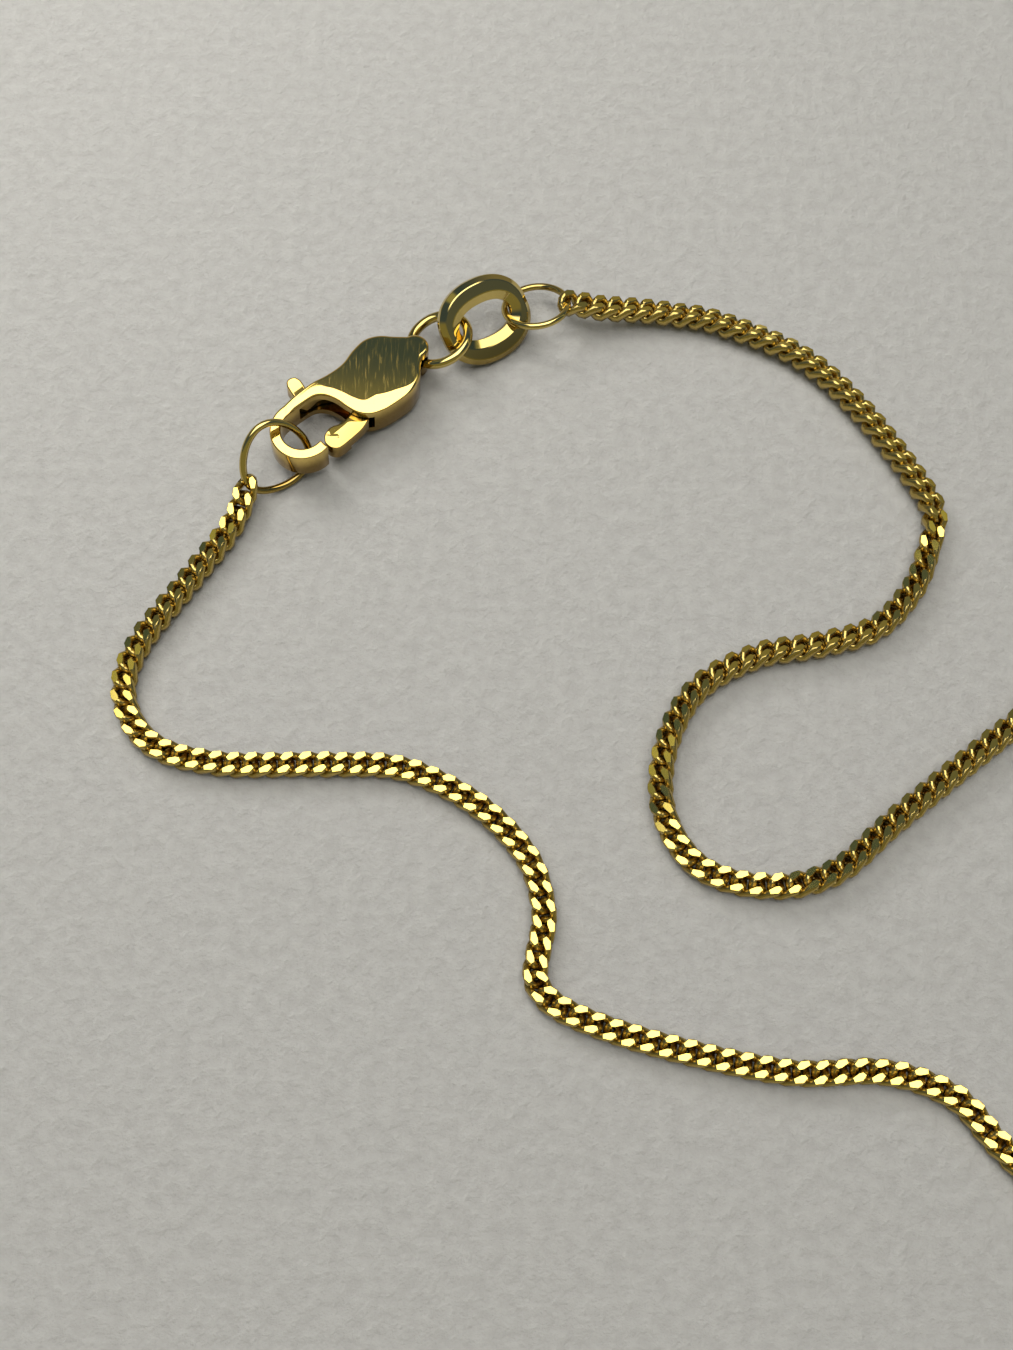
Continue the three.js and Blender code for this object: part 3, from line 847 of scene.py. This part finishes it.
    def prism(self, line: np.ndarray, low: float, high: float) -> tuple[np.ndarray, list]:
        """A straight-sided block over a closed outline.

        Args:
            line: the outline, anticlockwise.
            low: its underside.
            high: its top.

        Returns:
            The points and the faces.
        """
        count = len(line)
        points = np.vstack([np.column_stack([line, np.full(count, height)]) for height in (low, high)])
        faces = loop_faces(2, count, rows_closed=False)[:, ::-1].tolist()
        faces.append(list(range(count))[::-1])
        faces.append([count + k for k in range(count)])
        return points, faces

    def cut(self, piece: bpy.types.Object, tools: Sequence[bpy.types.Object]) -> None:
        """Cuts the tools' solids out of a piece and removes the tools.

        Args:
            piece: the piece that is cut.
            tools: closed solids.
        """
        for tool in tools:
            step = piece.modifiers.new("cut", "BOOLEAN")
            step.operation, step.solver, step.object = "DIFFERENCE", "EXACT", tool
        bpy.context.view_layer.update()
        evaluated = piece.evaluated_get(bpy.context.evaluated_depsgraph_get())
        mesh = bpy.data.meshes.new_from_object(evaluated)
        piece.modifiers.clear()
        piece.data = mesh
        for tool in tools:
            bpy.data.objects.remove(tool)

    def body(self) -> bpy.types.Object:
        """The body: the rounded plate less the lever's slot and the clasp ring's way through the tail.

        Returns:
            The new piece.
        """
        line, bands = self.outline()
        on_hook = line[:, 0] > self.taper_start
        points, faces = self.rounded_plate(line, bands, 0.0, self.thickness, on_hook)
        piece = make_piece("clasp_body_plates", CLASP_PLACE.put(self.thinned(points)), faces)
        wall = self.hub_radius + self.slot_clearance
        slot = np.array([
            (self.pivot_x - wall, self.pivot_y + 0.2), (self.pivot_x - 0.4, self.pivot_y + wall),
            (3.85, self.pivot_y + wall), (3.85, 2.7), (6.5, 2.9), (6.5, 1.2), (6.68, -0.3), (6.68, -2.5),
            (3.6, -2.5), (3.3, -1.4), (2.9, -0.3), (self.pivot_x - wall, self.pivot_y - 0.4)])[::-1]
        slot_points, slot_faces = self.prism(slot, self.plate, self.thickness - self.plate)
        tools = [make_piece("slot_tool", CLASP_PLACE.put(slot_points), slot_faces), self.ring_way()]
        self.cut(piece, tools)
        finish_edges(piece, 28)
        return piece

    def ring_way(self) -> bpy.types.Object:
        """The worn way of the clasp ring through the tail: the ring, larger all round by the clearance.

        Returns:
            The solid to cut with.
        """
        a = np.linspace(0, TAU, RING_STEPS, endpoint=False)[:, None]
        b = np.linspace(0, TAU, WIRE_SIDES, endpoint=False)[None, :]
        hole = CLASP_RING.wire / 2 + self.ring_clearance
        reach = CLASP_RING.half_length + hole * np.cos(b)
        points = np.stack([reach * np.cos(a), reach * np.sin(a), hole * np.sin(b) + 0 * a], -1)
        return make_piece("way_tool", CLASP_RING_PLACE.put(points), loop_faces(RING_STEPS, WIRE_SIDES))

    def lever(self) -> bpy.types.Object:
        """The lever: hub, gate and arm as one rounded plate, thick at the gate's outer end.

        Returns:
            The new piece.
        """
        hub = (self.pivot_x, self.pivot_y)
        line = np.vstack([
            [(self.pivot_x - self.hub_radius, self.pivot_y)],
            through([(3.15, 0.1), (3.75, -0.42), (4.5, -0.98), (5.3, -1.18), (5.78, -1.4)], 5),
            [(5.8, -1.95)],
            through([(5.95, -2.2), (6.2, -2.26), (6.42, -2.18), (6.54, -1.95)], 5),
            [(6.54, -0.85)],
            through([(6.2, -0.72), (5.4, -0.72), (4.6, -0.3), (4.3, 0.3), (4.75, 0.82), (5.3, 1.02),
                     (5.9, 0.96), (6.35, 1.18)], 5),
            through([(6.5, 1.5), (6.38, 1.86), (6.05, 2.08), (5.4, 1.98), (4.7, 1.8), (4.15, 1.6)], 5),
            [(3.92, self.pivot_y + self.hub_radius - 0.02)],
            arc(hub, self.hub_radius, 90, 170, 10)])
        even, _ = even_points(line, 150)
        low = (self.thickness - self.lever_thickness) / 2
        high = low + self.lever_thickness
        points, faces = self.lever_plate(even, low - self.gate_drop, high)
        piece = make_piece("clasp_lever_gate", CLASP_PLACE.put(points), faces)
        # What lies below the thin parts is cut away, so that only the gate hangs down.
        thin_parts = {"under_tongue": (0.35, 5.35, -5, 5), "under_arm": (0.36, 10.35, -9.6, 0.4)}
        tools = []
        for name, (x0, x1, y0, y1) in thin_parts.items():
            corners = np.array([(x0, y0), (x1, y0), (x1, y1), (x0, y1)])
            block, block_faces = self.prism(corners, low - 2, low)
            tools.append(make_piece(name, CLASP_PLACE.put(block), block_faces))
        bore, bore_faces = self.prism(arc(hub, self.hub_bore, 0, 360, 24)[:-1], -1, 3)
        tools.append(make_piece("hub_bore", CLASP_PLACE.put(bore), bore_faces))
        self.cut(piece, tools)
        finish_edges(piece, 30)
        return piece

    def lever_plate(self, line: np.ndarray, low: float, high: float) -> tuple[np.ndarray, list]:
        """The lever's plate, made as the large plate is: its edges are rounded, the gate's top slopes down
        outwards and the thumb tab rises.

        Args:
            line: the outline.
            low: its underside.
            high: its top.

        Returns:
            The points and the faces.
        """
        gate = smoothed_step(line[:, 0], 4.2, 4.9) * smoothed_step(line[:, 1], 1.0, 1.35)
        bands = self.lever_edge + self.gate_band * gate
        on_tab = line[:, 1] < self.tab_start
        points, faces = replace(self, edge=self.lever_edge).rounded_plate(line, bands, low, high, on_tab)
        points[:, 2] += self.tab_rise * np.maximum(0, self.tab_start - points[:, 1])
        return points, faces

    def build(self) -> None:
        """Makes and dresses the body and the lever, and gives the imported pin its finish."""
        gold = CLASP_GOLD.material()
        dress(self.body(), gold, "anklet", "clasp_gold", "clasp_body")
        dress(self.lever(), gold, "lever", "lever_gold", "clasp_lever")
        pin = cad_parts["clasp_pivot"]
        pin.data.materials.clear()
        pin.data.materials.append(RING_GOLD.material())
        log.info("clasp_pivot: packed solid kept")


# ---- the studio ----


@dataclass(frozen=True)
class Band:
    """A band of the surroundings: where it starts and is full, where it fades and is gone, and its colour."""

    start: float
    full: float
    colour: tuple[float, float, float]
    fade: float | None = None
    gone: float | None = None

    def share(self, place: Value) -> Value:
        """How much of the band there is at a place.

        Args:
            place: the angle or the sideways distance.

        Returns:
            A share from 0 to 1.
        """
        rise = place.between(self.start, self.full)
        return rise if self.fade is None else rise - place.between(self.fade, self.gone)


# What the gold mirrors, by the angle in degrees from the far horizon over the top to the near one.
SKY_FOOT = (0.24, 0.225, 0.18)
SKY_BANDS = (
    Band(22, 50, (0.06, 0.092, 0.17)),
    Band(47, 51, (0.05, 0.085, 0.16), 54.4, 57),
    Band(54.8, 58, (0.38, 0.39, 0.26), 66, 72),
    Band(118, 138, (0.26, 0.25, 0.14)),
)
SOURCE_COLOUR = (3.7, 3.6, 3.5)
SOURCE_OVER = Band(59.2, 61.5, SOURCE_COLOUR, 104, 114)
SOURCE_SIDEWAYS = Band(-0.44, -0.36, SOURCE_COLOUR, 0.4, 0.48)


@dataclass(frozen=True)
class Studio:
    """Pale paper, the surroundings, one lamp and the camera."""

    camera_height: float = 70.6     # above the paper, in millimetres
    camera_back: float = 25.696     # towards the near side
    lens: float = 44.0
    sheet_reach: float = 5000.0     # from the paper's middle to its edges, in millimetres
    grain_scale: float = 1500.0
    grain_height: float = 0.00018   # in metres
    paper_dark: tuple[float, float, float] = (0.355, 0.351, 0.327)
    paper_light: tuple[float, float, float] = (0.396, 0.392, 0.366)
    lamp_side: float = 0.06         # in metres
    lamp_power: float = 0.105       # in watts
    lamp_colour: tuple[float, float, float] = (1.0, 0.98, 0.97)
    lamp_spot: tuple[float, float, float] = (-0.06, 0.085, 0.085)  # from the picture's middle, in metres

    def paper(self) -> None:
        """The sheet that the anklet lies on, with a faint grain."""
        reach = self.sheet_reach * MM
        mesh = bpy.data.meshes.new("paper")
        corners = [(-reach, -reach, 0), (reach, -reach, 0), (reach, reach, 0), (-reach, reach, 0)]
        mesh.from_pydata(corners, [], [(0, 1, 2, 3)])
        sheet = bpy.data.objects.new("paper", mesh)
        bpy.context.scene.collection.objects.link(sheet)
        material = bpy.data.materials.new("paper")
        material.use_nodes = True
        bench = Bench(material.node_tree)
        where = bench.add("ShaderNodeTexCoord", {}, {}, "Object")
        grain = bench.add("ShaderNodeTexNoise", {}, {
            "Vector": where, "Scale": self.grain_scale, "Detail": 5.0, "Roughness": 0.6})
        relief = bench.add("ShaderNodeBump", {}, {
            "Height": grain, "Distance": self.grain_height, "Strength": 1.0})
        tone = bench.blend(grain.between(0.3, 0.7), (*self.paper_dark, 1.0), self.paper_light)
        shader = bench.add("ShaderNodeBsdfPrincipled", {}, {
            "Base Color": tone, "Roughness": 0.9, "Specular IOR Level": 0.1, "Normal": relief})
        bench.close(shader)
        mesh.materials.append(material)

    def sky(self) -> None:
        """The surroundings that the gold mirrors: a pale source over the top, a dark green-blue band on the
        far side that grows paler up to the source, and dim warm greens lower down on both sides."""
        world = bpy.data.worlds.new("sky")
        bpy.context.scene.world = world
        world.use_nodes = True
        bench = Bench(world.node_tree)
        where = bench.add("ShaderNodeTexCoord", {}, {}, "Generated")
        node = bench.tree.nodes.new("ShaderNodeSeparateXYZ")
        bench.tree.links.new(where.socket, node.inputs[0])
        x, y, z = (Value(bench, node.outputs[i]) for i in range(3))
        over = z.angle_over(y) * (360 / TAU)
        sky = (*SKY_FOOT, 1.0)
        for band in SKY_BANDS:
            sky = bench.blend(band.share(over), sky, band.colour)
        colour = bench.blend(SOURCE_OVER.share(over) * SOURCE_SIDEWAYS.share(x), sky, SOURCE_COLOUR)
        shader = bench.add("ShaderNodeBackground", {}, {"Color": colour, "Strength": 1.0})
        bench.close(shader, "ShaderNodeOutputWorld")

    def lamp(self) -> None:
        """One soft lamp high at the upper left, which sets the shadows' way. The gold doesn't mirror it."""
        light = bpy.data.lights.new("window", "AREA")
        light.shape, light.size, light.size_y = "RECTANGLE", self.lamp_side, self.lamp_side
        light.energy = self.lamp_power
        light.color = self.lamp_colour
        lamp = bpy.data.objects.new("window", light)
        bpy.context.scene.collection.objects.link(lamp)
        lamp.visible_glossy = False
        aim = GROUND_SHIFT * MM
        spot = np.array(self.lamp_spot) + aim
        lamp.location = spot
        direction = (aim - spot) / np.linalg.norm(aim - spot)
        lamp.rotation_euler = Vector(direction).to_track_quat("-Z", "Y").to_euler()

    def camera(self) -> None:
        """The camera above the near side, looking down at the middle of the picture."""
        lens = bpy.data.cameras.new("camera")
        lens.lens, lens.sensor_width, lens.clip_start, lens.clip_end = self.lens, 36.0, 0.002, 20.0
        camera = bpy.data.objects.new("camera", lens)
        bpy.context.scene.collection.objects.link(camera)
        camera.location = (
            GROUND_SHIFT[0] * MM, (GROUND_SHIFT[1] - self.camera_back) * MM, self.camera_height * MM)
        camera.rotation_euler = (math.atan2(self.camera_back, self.camera_height), 0, 0)
        bpy.context.scene.camera = camera

    def build(self) -> None:
        """Sets everything round the anklet."""
        self.paper()
        self.sky()
        self.lamp()
        self.camera()
        bpy.context.scene.view_settings.view_transform = "Standard"


def main() -> None:
    """Builds each sub-assembly in order; the pieces' face counts are logged as they are made."""
    logging.basicConfig(level=logging.INFO, format="%(message)s")
    CurbChain().build()
    ring_gold = RING_GOLD.material()
    for ring in (CLASP_RING, CHAIN_RING, HOOK_RING):
        ring.build(ring_gold)
    EndLink().build()
    Clasp().build()
    Studio().build()


if __name__ == "__main__":
    main()
